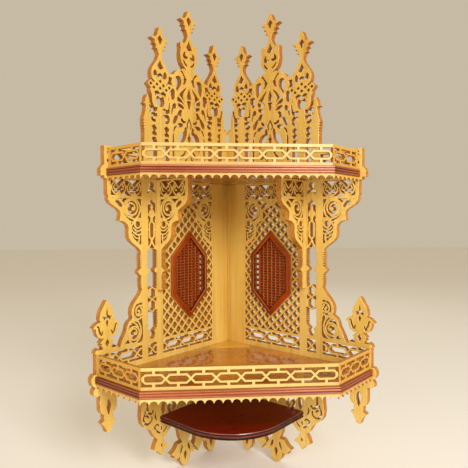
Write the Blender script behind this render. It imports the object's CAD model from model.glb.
"""Looks of a home iconostasis: a fretted corner shelf of two pierced boards, two railed shelves,
proud hexagonal medallions and a small dark shelf below.

Fret patterns are drawn flat in millimetres as outlines of wood and of openings, painted in order: along
the wall from the corner, and up. The saw's path round the wood that is left becomes a board with softened
arrises, as a mesh where the fret is dense and as a flat curve where it is plain.
"""

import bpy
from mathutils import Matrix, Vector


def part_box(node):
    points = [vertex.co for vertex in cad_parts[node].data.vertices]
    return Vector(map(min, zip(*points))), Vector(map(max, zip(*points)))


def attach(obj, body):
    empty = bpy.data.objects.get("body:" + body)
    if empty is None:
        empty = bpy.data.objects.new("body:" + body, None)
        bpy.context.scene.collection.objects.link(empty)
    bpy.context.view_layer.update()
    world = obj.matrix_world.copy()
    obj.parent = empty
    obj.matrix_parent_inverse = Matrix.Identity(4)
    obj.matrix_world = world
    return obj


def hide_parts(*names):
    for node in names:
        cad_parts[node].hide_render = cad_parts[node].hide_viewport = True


bl_info = {
    "name": "Home Iconostasis",
    "version": (1, 0, 0),
    "blender": (4, 5, 0),
    "location": "View3D > Sidebar > Iconostasis",
    "description": "Builds a fretted corner iconostasis round its packed model",
    "category": "Object",
}

from collections import namedtuple
from math import atan2, cos, hypot, pi, radians, sin, sqrt, tan

import bpy
import numpy as np
from bpy.props import FloatProperty, FloatVectorProperty, PointerProperty
from mathutils import Matrix, Vector
from mathutils.geometry import delaunay_2d_cdt

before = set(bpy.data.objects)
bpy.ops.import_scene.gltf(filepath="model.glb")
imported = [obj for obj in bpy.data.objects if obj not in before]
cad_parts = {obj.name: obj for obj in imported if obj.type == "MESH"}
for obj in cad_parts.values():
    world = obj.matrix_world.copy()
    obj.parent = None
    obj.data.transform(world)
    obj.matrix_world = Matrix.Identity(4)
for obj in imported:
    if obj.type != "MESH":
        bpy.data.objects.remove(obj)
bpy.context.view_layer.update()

# ---------------------------------------------------------------- sizes, millimetres
MM = 0.001
GAP = 0.3                       # left open between pieces
BOARD = 11.0
WALL_TURN = 45.0
CORNER_Y = -BOARD * sqrt(2)

# along the wall from the corner
STILE = 44.5                    # end of the corner stile, where the lattice starts
LATTICE_END = 167.0
INNER_END = 181.0               # end of the inner stile, where the narrow strip starts
OUTER_STILE = 201.0             # where the strip ends
WING = 211.7                    # end of the outer stile, where the wings start
LATTICE_MID = (STILE + LATTICE_END) / 2
LATTICE_LOW, LATTICE_HIGH = 35.2, 300.0
STRIP_MID = (INNER_END + OUTER_STILE) / 2

UPPER_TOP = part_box("upper_shelf")[1].z / MM
BOTTOM_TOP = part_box("bottom_shelf")[1].z / MM
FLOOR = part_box("wall_board_left")[0].z
LOWER_SHELF = (300.0, 102.6)    # length along the wall, and depth of the end that stands square to it
UPPER_SHELF = (276.7, 79.0)
BOTTOM_WALL = 176.0
BOTTOM_ROUND = 100.0            # radius of the bottom shelf's rounded front corner
CORNER_BLOCK = (38.0, 59.0)     # half its width, and its reach from the corner

RAIL = 6.0                      # thicknesses of the strips, and how far they stand proud of the shelf
RAIL_HEIGHT = 31.6
LINK = 35.0                     # length of the rails' links
MOULD_PROUD = 4.0
MOULD_HEIGHT = 11.0
REEDS = (-5.0, -9.0)            # middles of the moulding's two reeds, their depth and half their height
REED_DEPTH, REED_HALF = 1.7, 1.9
VALANCE = 4.0
VALANCE_DROP = 8.0
VALANCE_PROUD = 2.0
VALANCE_ARRIS = 0.3
SCALLOP = 12.7                  # width of one scallop
KERF_PITCH = 3.7                # from one saw cut to the next on the ringed necks

MEDALLION = (44.5, 78.5, 139.0)  # half width, half height and height of its middle
MEDALLION_BAND = 8.0
MEDALLION_PROUD = 6.0
MEDALLION_HOLE = 3.5            # how far inside the band's outline its opening in the board starts
MEDALLION_FALL = 2.7            # how far the band slopes back from its inner to its outer edge
MEDALLION_ARRIS = 0.6
GRILLE = 10.4                   # thickness of the grille, and its columns and rows of openings
GRILLE_COLUMNS, GRILLE_PITCH, GRILLE_SLOT, GRILLE_ROW = 8, 9.1, 6.6, 4.95
GRILLE_ARRIS = 0.45

# the bottom shelf's edge, inset and height: a bead over a square fillet, with a groove between
BOTTOM_EDGE = ((2.4, 0.0), (0.9, -0.4), (0.2, -1.4), (0.0, -2.8), (0.3, -4.4), (1.0, -5.5), (2.2, -6.0),
               (2.2, -6.4), (0.8, -6.5), (0.6, -6.8), (0.6, -9.8), (1.0, -10.6), (2.0, -11.0))
BOTTOM_STEPS = 40

SIDES = ((-1, "left"), (1, "right"))
LEVELS = (("upper", UPPER_SHELF, UPPER_TOP), ("lower", LOWER_SHELF, 0.0))

# how fine the saw's path is
SNAP = 0.01                     # points nearer than this are one
CHIP = 0.25                     # area of a chip too small to keep
FINE = 0.9                      # step along the curves of scrolls and leaves
NEAR = 0.12                     # shortest step of the saw
STRAIGHT = 0.012                # how far a point may lie off a straight run
WELD = 2e-6                     # metres
MEET = 1e-5                     # points of an arris nearer than this are one
SHARPEST = 0.35                 # least square of an arris's mitre, which stops it running far into a corner
SHORTEST = 0.02                 # side that an arris may leave
CROWDED = 2.5                   # arrises this many widths from a crossing are made narrower
TRIES = 12
END = 0.8                       # the part of a strip's end that its mitre slants
FACE_ON, EDGE_ON = 0.92, 0.5    # how squarely a face and a sawn edge look along a board's axis
SMOOTH_TURN = 32.0              # degrees

# the stage, in metres, watts and radians
FLOOR_WIDTH, FLOOR_DROP = 14.0, 0.0005
SKY = 0.66
AIM = Vector((0, -0.15, 0.05))
LIGHTS = (("key_light", (0.7, -2.1, 1.05), 0.8, 42), ("fill_light", (-1.2, -1.9, 0.35), 1.2, 11),
          ("rim_light", (0.4, 1.6, 1.4), 1.2, 4))       # name, place, width and power
CAMERA_PLACE = (-0.0641, -0.9825, 0.2335)
CAMERA_TURNS = ((-0.0795, "Z"), (-0.0252, "X"), (0.0022, "Y"))
LENS, SENSOR = 38.0, 36.0       # millimetres


# ---------------------------------------------------------------- drawing
def box(x0, x1, z0, z1):
    return [(x0, z0), (x1, z0), (x1, z1), (x0, z1)]


def through(points, step, closed=False):
    """A smooth curve through the points, with a point about every step."""
    count = len(points)
    spans = count if closed else count - 1
    drawn = []
    for i in range(spans):
        if closed:
            a, b, c, d = points[i - 1], points[i], points[(i + 1) % count], points[(i + 2) % count]
        else:
            a, b, c, d = points[max(i - 1, 0)], points[i], points[i + 1], points[min(i + 2, count - 1)]
        pieces = max(1, round(hypot(c[0] - b[0], c[1] - b[1]) / step))
        for k in range(pieces):
            t = k / pieces
            drawn.append(tuple(
                0.5 * (2 * b[j] + (c[j] - a[j]) * t + (2 * a[j] - 5 * b[j] + 4 * c[j] - d[j]) * t * t
                       + (3 * b[j] - a[j] - 3 * c[j] + d[j]) * t ** 3) for j in (0, 1)))
    return drawn if closed else drawn + [points[-1]]


def band(points, width):
    """Outline of a ribbon; width is a number, or its start, middle and end."""
    start, middle, end = width if isinstance(width, tuple) else (width, width, width)
    left, right = [], []
    last = len(points) - 1
    for i, (x, z) in enumerate(points):
        x0, z0 = points[max(i - 1, 0)]
        x1, z1 = points[min(i + 1, last)]
        length = hypot(x1 - x0, z1 - z0) or 1
        t = 2 * i / last
        half = (start + (middle - start) * t if t < 1 else middle + (end - middle) * (t - 1)) / 2
        nx, nz = -(z1 - z0) / length * half, (x1 - x0) / length * half
        left.append((x + nx, z + nz))
        right.append((x - nx, z - nz))
    return left + right[::-1]


def both(half, z=0.0, k=1.0, x=0.0):
    """A closed outline from its right half, which starts and may end on the axis at x; k is its scale."""
    right = [(x + k * dx, z + k * dz) for dx, dz in half]
    left = [(x - k * dx, z + k * dz) for dx, dz in reversed(half) if dx]
    return right + left


class Fret:
    """A flat panel as outlines of wood and of openings, each one covering what was drawn before.

    Another view of a panel draws on the same one, but measures from an axis of its own, to the left where
    its way is -1.
    """

    def __init__(self, step=1.0, shapes=None, axis=0.0, way=1):
        self.step, self.axis, self.way = step, axis, way
        self.shapes = [] if shapes is None else shapes

    def seen(self, axis, way=1):
        return Fret(self.step, self.shapes, self.axis + self.way * axis, self.way * way)

    def sides(self, axis=0.0):
        """The views to the left and to the right of an axis."""
        return self.seen(axis, -1), self.seen(axis)

    def at(self, points):
        return [(self.axis + self.way * x, z) for x, z in points]

    def draw(self, is_wood, outline):
        self.shapes.append((is_wood, [(float(x), float(z)) for x, z in outline]))

    def wood(self, outline):
        self.draw(True, self.at(outline))

    def cut(self, outline):
        self.draw(False, self.at(outline))

    def ribbon(self, points, width, is_wood=True, smooth=True):
        points = self.at(points)
        self.draw(is_wood, band(through(points, self.step) if smooth else points, width))

    def blob(self, points, is_wood=True):
        self.draw(is_wood, through(self.at(points), self.step, True))

    def disc(self, x, z, radius, is_wood=True):
        x = self.axis + self.way * x
        sides = max(8, round(2 * pi * radius / self.step))
        turns = [2 * pi * i / sides for i in range(sides)]
        self.draw(is_wood, [(x + radius * cos(turn), z + radius * sin(turn)) for turn in turns])

    def ring(self, x, z, radius, width):
        self.disc(x, z, radius + width / 2)
        self.disc(x, z, radius - width / 2, False)

    def add(self, other, along=0.0, flip=1, limit=None, up=0.0):
        """Copy another fret's shapes, cut off at limit, mirrored where flip is -1, and moved along and up."""
        for is_wood, outline in other.shapes:
            if limit is not None:
                outline = clipped(outline, limit)
            if len(outline) > 2:
                self.shapes.append((is_wood, [(along + flip * x, z + up) for x, z in outline]))


def clipped(outline, limit):
    """The part of a closed outline with x up to limit."""
    kept = []
    for (x0, z0), (x1, z1) in zip(outline[-1:] + outline[:-1], outline):
        if (x1 <= limit) != (x0 <= limit):
            kept.append((limit, z0 + (limit - x0) / (x1 - x0) * (z1 - z0)))
        if x1 <= limit:
            kept.append((x1, z1))
    return kept


def inside(outline, centres):
    """Which centres the closed outline winds round."""
    turns = np.zeros(len(centres), int)
    x, z = centres[:, 0], centres[:, 1]
    for (x0, z0), (x1, z1) in zip(outline, outline[1:] + outline[:1]):
        side = (x1 - x0) * (z - z0) - (x - x0) * (z1 - z0)
        turns += (z0 <= z) & (z1 > z) & (side > 0)
        turns -= (z1 <= z) & (z0 > z) & (side < 0)
    return turns != 0


def wood_triangles(fret):
    """The fret's plane as points, and the triangles of it that lie on wood."""
    points, edges = [], []
    for _, outline in fret.shapes:
        first = len(points)
        points += [Vector(point) for point in outline]
        edges += [(first + i, first + (i + 1) % len(outline)) for i in range(len(outline))]
    points, _, faces, *_ = delaunay_2d_cdt(points, edges, [], 0, SNAP)
    points = np.array([tuple(point) for point in points])
    faces = np.array(faces)
    centres = points[faces].mean(1)
    is_wood = np.zeros(len(faces), bool)
    for wood, outline in fret.shapes:
        low, high = np.min(outline, 0), np.max(outline, 0)
        near = np.nonzero(((centres > low) & (centres < high)).all(1))[0]
        is_wood[near[inside(outline, centres[near])]] = wood
    return points, faces[is_wood]


def turn_left(points, faces):
    """Make every triangle run anticlockwise."""
    a, b, c = points[faces[:, 0]], points[faces[:, 1]], points[faces[:, 2]]
    turned = (b[:, 0] - a[:, 0]) * (c[:, 1] - a[:, 1]) < (b[:, 1] - a[:, 1]) * (c[:, 0] - a[:, 0])
    faces[turned] = faces[turned][:, ::-1]


def loops_of(fret):
    """The saw's path round the fret's wood: closed outlines, the outer one first, without loose chips."""
    points, faces = wood_triangles(fret)
    turn_left(points, faces)
    sides = {(i, j) for f in faces.tolist() for i, j in zip(f, f[1:] + f[:1])}
    ahead = {}
    for i, j in sides:
        if (j, i) not in sides:
            ahead.setdefault(i, []).append(j)
    loops = []
    while ahead:
        start = here = next(iter(ahead))
        came = None
        loop = []
        while here in ahead:
            ways = ahead[here]
            way = ways[0] if len(ways) == 1 or came is None else sharpest_left(points, came, here, ways)
            ways.remove(way)
            if not ways:
                del ahead[here]
            loop.append(here)
            came, here = here, way
            if here == start:
                break
        loops.append(tidy_loop(points[loop]))
    loops = [loop for loop in loops if len(loop) > 2 and abs(area_of(loop)) > CHIP]
    outer = max(loops, key=area_of)
    return [outer] + [loop for loop in loops if area_of(loop) < 0]


def sharpest_left(points, came, here, ways):
    """Of the ways on from a point where wood touches wood, the one that stays on the same wood."""
    back = points[came] - points[here]

    def clockwise(way):
        ahead = points[way] - points[here]
        return (atan2(back[1], back[0]) - atan2(ahead[1], ahead[0])) % (2 * pi)
    return min(ways, key=clockwise)


def area_of(loop):
    x, z = np.array(loop).T
    return float(np.sum(x * np.roll(z, -1) - np.roll(x, -1) * z)) / 2


def tidy_loop(loop):
    """A loop without points that lie on a straight run or close to the point before."""
    kept = []
    count = len(loop)
    for i in range(count):
        before = kept[-1] if kept else loop[i - 1]
        here, after = loop[i], loop[(i + 1) % count]
        run, step = here - before, after - here
        if hypot(*run) < NEAR:
            continue
        off = abs(run[0] * step[1] - run[1] * step[0]) / (hypot(*run) + hypot(*step))
        if off > STRAIGHT or run @ step < 0:
            kept.append(here)
    return kept


# ---------------------------------------------------------------- fret patterns
def bracket_pattern():
    """Scroll bracket: a tulip band on top, a great scroll, a small scroll and stepped curls below."""
    f = Fret(FINE)
    f.wood([(-1, 186), (3, 186.5), (7, 191), (15, 196.5), (22, 202), (26, 208), (27.2, 216), (26.6, 224),
            (28.5, 229), (33, 232.5), (38, 234.5), (44.5, 235.5), (42.4, 241), (42.2, 249), (46, 253.5),
            (53, 257.5), (61, 262.5), (65.5, 269), (64.5, 272.5), (66.5, 277), (66.5, 304.5), (-1, 304.5)])
    f.cut(box(1.0, 60.2, 275.2, 300.8))
    for tulip in (f.seen(15.3), f.seen(45.5)):
        for g in tulip.sides():
            g.ribbon([(15.6, 301.5), (8, 296), (3, 290.5), (0, 287.5)], 2.3)
            g.ribbon([(0, 276.3), (6.5, 277.3), (12, 282.5), (13, 289), (10.2, 294.5), (7, 296.5)], 2.4)
            g.ribbon([(5.6, 293), (8.6, 289.5), (8.8, 285.8), (6.2, 283.6)], (2, 2.2, 1.6))
            g.disc(5.6, 284.6, 1.7)
            g.ribbon([(13, 288), (15.4, 289.5)], 2.6, smooth=False)
        tulip.ribbon([(0, 276), (0, 281.2)], (6, 3.5, 1.2), smooth=False)
        tulip.disc(0, 275.5, 5.2)
    # great scroll
    f.cut([(1.4, 270.6), (58.5, 270.6), (56.5, 268.6), (41, 265), (35.5, 259), (35.5, 246.5), (30.5, 240.6),
           (24, 235.5), (17, 233.2), (1.4, 238)])
    f.ribbon([(60.5, 266.5), (54, 269.3), (47, 268.8), (40.5, 265.8), (36, 261), (33, 265.3), (27, 269.3),
              (19.5, 270.6), (11, 268), (4.8, 261.5), (3.2, 253), (6.2, 245), (11.5, 239.2), (17, 235.8)],
             3.0)
    f.ribbon([(33.6, 263.5), (36, 256), (33.5, 248), (27.5, 242), (19, 238.6), (12, 236)], 2.8)
    f.ring(20.6, 256.3, 12.1, 3.0)
    f.ribbon([(26, 246.5), (30, 252), (29.5, 259), (24.5, 263.2), (18.3, 262.5), (14.3, 258), (14.6, 253)],
             (3.4, 3.2, 2.2))
    f.disc(17.4, 254.2, 3.3)
    # leaf beside it
    f.blob([(38.5, 258.5), (41.5, 263.5), (47.5, 266.3), (53, 265.6), (50, 262), (45, 258.6), (41, 256.5)],
           False)
    # small scroll and the curls below it
    f.cut([(1.3, 234.2), (9, 237.5), (16, 233), (22.5, 233.2), (20.6, 226), (20.8, 214), (16.5, 206.6),
           (9.5, 200.6), (3.6, 196.6), (1.3, 196)])
    f.ribbon([(1, 238), (8, 238.6), (14, 235.6), (19, 229.5), (21.6, 226)], 2.8)
    f.ring(8.6, 229.6, 6.3, 2.5)
    f.disc(6.8, 228.3, 2.4)
    f.ribbon([(6.5, 227), (9.5, 226.2), (12, 228.8)], 1.8)
    f.ribbon([(0.5, 221.5), (6, 218.6), (12.5, 219.6), (18.5, 224.5)], 2.4)
    f.ribbon([(0.5, 213.8), (6, 212.5), (12, 213.2), (17.5, 217), (21.5, 222)], 2.3)
    f.ribbon([(6.5, 212.5), (5.2, 206), (7.2, 200), (9.5, 198)], 2.6)
    f.ribbon([(7, 206), (12.5, 207.6), (17.5, 212), (21.5, 214)], 2.2)
    return f


def kerfs(f, x0, x1, low, high, pitch=KERF_PITCH, width=1.1):
    """A row of saw cuts, like the rings of a turned neck."""
    count = int((high - low) / pitch)
    for i in range(count + 1):
        f.cut(box(min(x0, x1), max(x0, x1), low + i * pitch, low + i * pitch + width))


def neck(f):
    """A ringed neck with a knob, proud of the stile's edge, which is the view's axis."""
    low, knob, high = 122.0, 152.0, 186.0
    profile = [(low, 0.2), (low + 4, 2.6), (low + 16, 3.4), (knob - 7, 2.2), (knob - 5, 4.6), (knob - 1, 8.2),
               (knob + 1, 8.2), (knob + 4, 4.6), (knob + 6, 2.2), (high - 26, 3.6), (high - 12, 4.4),
               (high - 1, 2.6), (high + 3, 2.0)]
    f.wood([(-1, low)] + [(proud, z) for z, proud in profile] + [(-1, high + 3)])
    kerfs(f, 0.9, 9, low + 3, knob - 7.5)
    kerfs(f, 0.9, 9, knob + 6.5, high - 2)


def spire_head(f, top, peak=0.0, k=1.0):
    """A leaf head with three barbs a side, pierced by a lozenge slit; peak draws its tip out."""
    f.wood(both([(0, peak), (2.4, peak - 1.6), (4.6, peak / 2 - 7.6), (7, -13.4), (10.8, -16.2),
                 (15.8, -16.8), (20.6, -18.8), (16.8, -20.8), (12.6, -21.8), (11.2, -25.4), (14.6, -28.2),
                 (9.8, -28.8), (8.2, -32.6), (11.4, -35.6), (6.6, -36.4), (4.4, -40.4), (3, -44), (3, -53)],
                top, k))
    f.cut(both([(0, -11.4), (5.6, -17.8), (2.6, -24.2), (0, -28.8)], top, k))


def side_spire(f):
    """An onion on a plaited knot over a round loop, with a leaf head."""
    f.blob(both([(0, 526), (3, 519), (6.5, 511), (13, 502), (18, 494), (19.2, 485), (16.5, 477), (8, 471),
                 (0, 469)]))
    f.cut(both([(0, 511.5), (2.8, 506), (7.6, 499), (4, 497.2), (0, 495.2)]))
    f.blob([(-10.6, 493.2), (-8, 490.4), (-6.4, 486), (-3, 488), (0, 489.4), (3, 488), (6.4, 486), (8, 490.4),
            (10.6, 493.2), (14, 490.4), (14.6, 484.4), (9.4, 480.6), (3.4, 482.4), (0, 484.8), (-3.4, 482.4),
            (-9.4, 480.6), (-14.6, 484.4), (-14, 490.4)], False)
    spire_head(f, 563.6, 3.6, 0.95)
    f.blob([(-19, 462), (-18.2, 450), (-16.6, 437), (-9, 427.5), (0, 425), (9, 427.5), (16.6, 437),
            (18.2, 450), (19, 462)])
    f.blob([(-6.4, 450.4), (-9.4, 443), (-7, 435.5), (0, 432.6), (7, 435.5), (9.4, 443), (6.4, 450.4),
            (0, 447.6)], False)
    f.cut(both([(0, 451.4), (8, 454), (10.2, 449.6), (13.4, 456), (6.4, 459.6), (0, 455.4)]))
    f.wood(both([(0, 483), (7.2, 476), (14, 471.2), (20.4, 475.4), (27.2, 468.5), (20.4, 461.6),
                 (13.8, 456.4), (7, 461.8), (0, 457)]))
    holes = ((-20.3, 468.5), (-13.7, 463.3), (-7.2, 469.6), (0, 464), (0, 475.6), (7.2, 469.6), (13.7, 463.3),
             (20.3, 468.5))
    for dx, z in holes:
        f.seen(dx).cut(both([(0, 3.1), (3.4, 0), (0, -3.1)], z))


def middle_spire(f):
    """A shouldered onion with a leaf head over two arches that meet above the palmette."""
    f.blob(both([(0, 570), (3.2, 562), (6, 556), (11, 549), (15.4, 550.4), (20, 548.4), (19.6, 538),
                 (20.6, 528), (18.4, 516), (12, 507.6), (5, 502.6), (0, 501)]))
    f.cut(both([(0, 556.6), (2.8, 549.4), (7.8, 541.6), (4.2, 539.4), (0, 537.4)]))
    for g in f.sides():
        g.blob([(8.4, 534.8), (12.6, 532.4), (14.6, 526.4), (11.6, 522.8), (4.6, 523.2), (2.4, 527.4),
                (6.4, 527), (8.6, 530)], False)
        g.ribbon([(13, 519.6), (11, 515.4), (7.4, 512), (4, 510.6)], (2.8, 3.6, 2.6), False)
    spire_head(f, 609.6)
    f.blob([(-6, 504), (0, 507), (6, 504), (7, 496), (6.6, 486), (9, 478), (0, 474), (-9, 478), (-6.6, 486),
            (-7, 496)])
    for g in f.sides():
        g.blob([(3, 497), (9, 503.5), (15.5, 503.6), (19, 500.5), (26, 499.5), (34, 493), (37.4, 483),
                (37, 471), (31, 458), (22, 462.5), (13, 469.5), (6, 476), (2, 484)])
        g.blob([(20.4, 486.6), (26, 488.6), (32, 485.6), (33.4, 476), (31.6, 466), (28.6, 461.6),
                (24.4, 467.4), (20, 473.4), (18.4, 480)], False)
        g.ribbon([(19.4, 498.6), (15, 495.4), (11.6, 490.4), (9.4, 486.6)], (3.2, 3, 3.4), False)
        g.blob([(5.6, 486.4), (10, 488), (13.2, 485.6), (12.8, 480.6), (14.8, 476), (10.4, 477),
                (7.4, 481.4)], False)


def palmette(f):
    """Ribs spreading from a heart under the arches, and the leaf and arch openings below it."""
    f.cut(both([(0, 475), (4, 474), (12.6, 467.6), (19.4, 461.6), (26.6, 455.4), (28.8, 450), (28.6, 443),
                (26.6, 436), (18, 428), (0, 426)]))
    for g in f.sides():
        g.ribbon([(1, 475.4), (5.8, 466), (9.8, 457), (8.4, 447), (3, 434)], (4.2, 9.6, 3))
        g.ribbon([(3, 428), (10.6, 440.6), (18, 449.6), (29.5, 455.6)], (4.4, 3, 3.6))
        g.ribbon([(5, 427), (11.6, 436.6), (19, 441.6), (29.5, 442.6)], (4.6, 3, 3.6))
        g.blob([(0, 434), (7, 434), (13, 433), (17.4, 426.5), (16, 417.6), (10, 413.6), (4, 415), (0, 420.6)])
        g.ribbon([(14, 430), (20, 431.8), (28, 434.6)], 3.6)
        g.blob([(17.8, 429.4), (21.6, 430.4), (26, 426), (28.6, 422), (24, 419.6), (18.8, 418.8),
                (18.8, 424)], False)
        g.blob([(26.4, 419.8), (29.6, 421.6), (35.4, 416.4), (40, 410), (39, 404.4), (35, 403.8),
                (31, 408.4)], False)
        g.blob([(31.4, 436), (34.4, 439.4), (38.6, 437.4), (41.8, 430), (43, 421.4), (41, 419.4),
                (39.6, 425.4), (37, 429.8), (32.6, 431)], False)
        g.blob([(7.4, 412), (12, 411.8), (18.6, 416.2), (20.6, 412.8), (17, 408.8), (11, 408.2)], False)
        g.blob([(14.4, 403.8), (18.4, 406.8), (25.4, 406.2), (30, 402.4), (26.4, 399.2), (19, 400)], False)
        g.ribbon([(30.4, 400.4), (34.8, 396.8), (37.4, 390.4)], (1.8, 3.6, 2.4), False)
        g.ribbon([(37.8, 386.6), (38.4, 378), (38.2, 342)], (2, 4.8, 3.4), False)
        g.blob([(7, 401.4), (11.4, 399.6), (12.8, 393.4), (19, 391), (25, 384), (27, 372), (25, 356),
                (21, 368), (14, 374), (8, 382), (5.4, 392)], False)
        g.ribbon([(22, 347), (13.5, 352.5), (7, 362)], (2.4, 4, 2), False)
        g.ribbon([(15, 337), (9, 341), (3.8, 349)], (2, 3.6, 1.8), False)
    f.ribbon([(-8, 449.6), (0, 450.6), (8, 449.6)], 2.4)
    f.cut(both([(0, 419), (3, 413.6), (6.4, 407.4), (6, 401.4), (2.4, 398)]))
    f.wood(both([(0, 413.6), (2.2, 409), (3.2, 404.6), (2.4, 400.6), (1.8, 396)]))
    f.cut(both([(0, 393.6), (1.5, 389), (1.2, 386.6), (4.4, 383), (3.2, 378), (0, 371)]))


def column_openings(f, x, way):
    """The openings beside a column: a dart, hooks, a baluster and a tall slot; way is the column's side."""
    here = f.seen(x)
    here.cut(both([(0, 429.8), (4.4, 431), (7.6, 430.6), (7, 425.4), (3, 423.6), (0, 422.6)]))
    f.seen(x, way).blob([(-7, 420), (-2.4, 420.8), (3.4, 421.4), (7.2, 417), (6.6, 409.6), (2, 406),
                         (-3.4, 406.4), (-3.6, 409.8), (1.6, 411.2), (2, 414), (-1.4, 415.6), (-6.4, 415)],
                        False)
    here.cut(both([(1.2, 401.6), (3, 399.4), (5.6, 398.4), (5.6, 394), (2.2, 392.6), (2.2, 390.2),
                   (5.6, 387.6), (5.6, 383.6)]))
    here.cut(both([(3.6, 380.6), (6.6, 374), (6.6, 345), (3.4, 340), (1.2, 334)]))


def crest_pattern():
    """The openwork above the upper shelf: three spires, a small finial at each end, columns between."""
    f = Fret(FINE)
    corner, first, middle, second, last = 12.9, 35.6, 103.0, 170.6, 198.3
    drop = 5.5
    f.wood([(0, 300), (0, 407), (3.5, 412), (8, 405), (9, 414), (14, 426), (19.5, 428), (24, 421),
            (first, 430), (first + 17, 436), (first + 19, 443), (first + 19, 452), (first + 24, 470),
            (first + 27, 482), (first + 38, 486), (second - 38, 486), (second - 27, 482), (second - 24, 470),
            (second - 19, 452), (second - 19, 443), (second - 17, 436), (second, 430), (185, 425), (191, 418),
            (205, 398), (205, 300)])
    for g in (f.seen(first), f.seen(second, -1)):
        g.ribbon([(16, 486), (23, 484.6), (31, 486.6), (37, 493)], (3, 7, 3))
        g.blob([(14.4, 473.6), (17.6, 477.6), (20.8, 481), (24, 478), (25.8, 472.6), (27.8, 467), (25, 469.4),
                (20.6, 475.4), (17, 471.4)], False)
        g.blob([(19, 459.6), (25, 463.4), (30.4, 463.6), (33.2, 460), (33, 451), (30.6, 445.4), (25.6, 444.8),
                (24.6, 450), (21.8, 453.4)], False)
    for way, spire, lower in ((1, first, 0), (-1, second, drop)):
        turned = Fret(f.step)
        side_spire(turned.seen(spire))
        turned.seen(spire, way).ribbon([(20.6, 443), (20.4, 437), (18.6, 430.4)], (1.8, 2.6, 3.4), False)
        f.add(turned, up=-lower)
    middle_spire(f.seen(middle))
    palmette(f.seen(middle))
    for spire, lower in ((first, 0), (second, drop)):
        columns = Fret(f.step)
        for way in (-1, 1):
            column_openings(columns, spire + way * 13.8, way)
        f.add(columns, up=-lower)
    # outer finial and its ringed column
    f.seen(last).wood(both([(0, 444), (3.6, 437), (4.2, 431), (8.4, 427.6), (3.4, 427), (3, 424), (4, 416),
                            (8, 404), (8.6, 396), (6.5, 382), (6.5, 326)]))
    kerfs(f, last + 6.2, last + 12, 381, 400, 4.6, 1.2)
    # corner finial
    f.seen(corner).wood(both([(0, 447), (2, 436), (4.6, 428), (3.2, 424), (5.2, 412), (6.6, 402),
                              (6.6, 380)]))
    f.blob([(1.5, 404), (4.4, 399), (4.4, 388), (2.6, 380), (-2, 378), (-2, 406)], False)
    return f


def shelf_end_pattern():
    """The board's end beside the upper shelf: an open chain rail, an ear and a square block."""
    f = Fret(FINE)
    f.wood(box(200, 283, 300, 350))
    f.wood([(280, 323.5), (285, 320), (289, 315.5), (290, 311.5), (288.6, 309), (290, 308.4), (290, 304),
            (280, 304)])
    chain(f, 207.5, 278.5, 245 - LINK, LINK, 315.2)
    return f


def chain(f, x0, x1, first, pitch, z0=0.0):
    """Long hexagon links between two bars, pierced between x0 and x1; first is a crossing."""
    low, high, middle, rise, shoulder = z0 + 8.4, z0 + 30.4, z0 + 19.2, 6.1, 6.2
    strand, post, overlap, root = 2.6, 3.6, 0.9, 0.8
    f.cut(box(x0, x1, low, high + 0.4))
    open_part = Fret()
    crossing = first
    while crossing < x1:
        after = crossing + pitch
        corners = [(crossing, middle), (crossing + shoulder, middle + rise),
                   (after - shoulder, middle + rise), (after, middle), (after - shoulder, middle - rise),
                   (crossing + shoulder, middle - rise)]
        for start, end in zip(corners, corners[1:] + corners[:1]):
            length = hypot(end[0] - start[0], end[1] - start[1])
            dx, dz = overlap * (end[0] - start[0]) / length, overlap * (end[1] - start[1]) / length
            open_part.wood(band([(start[0] - dx, start[1] - dz), (end[0] + dx, end[1] + dz)], strand))
        x = crossing + pitch / 2
        for way, end in ((1, high + 1), (-1, low - 1)):
            open_part.wood(band([(x, middle + way * rise), (x, end)], post))
        crossing = after
    for is_wood, outline in open_part.shapes:
        outline = clipped(outline, x1 + root)
        outline = [(-x, z) for x, z in clipped([(-x, z) for x, z in outline], root - x0)]
        if len(outline) > 2:
            f.draw(is_wood, outline)


def lattice(f):
    """Diagonal slats between the corner stile and the inner stile."""
    pitch, low, high, slat, shortest = 17.5, 34.0, 301.0, 3.1, 2.0
    left, right = STILE - 1, LATTICE_END + 1
    f.cut(box(STILE, LATTICE_END, LATTICE_LOW, LATTICE_HIGH))
    for slope in (1, -1):
        for i in range(-10, 26):
            start = LATTICE_LOW + i * pitch - slope
            ends = []
            for z in (low, high):
                x = left + slope * (z - start)
                x = min(max(x, left), right)
                ends.append((x, start + slope * (x - left)))
            if abs(ends[0][0] - ends[1][0]) > shortest:
                f.wood(band(sorted(ends), slat))


def medallion(inset):
    """The medallion's long hexagon, moved in by inset on every side."""
    width, height, z = MEDALLION[0] - inset, MEDALLION[1] - inset * sqrt(2), MEDALLION[2]
    side = height - width
    return both([(0, height), (width, side), (width, -side), (0, -height)], z, x=LATTICE_MID)


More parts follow.
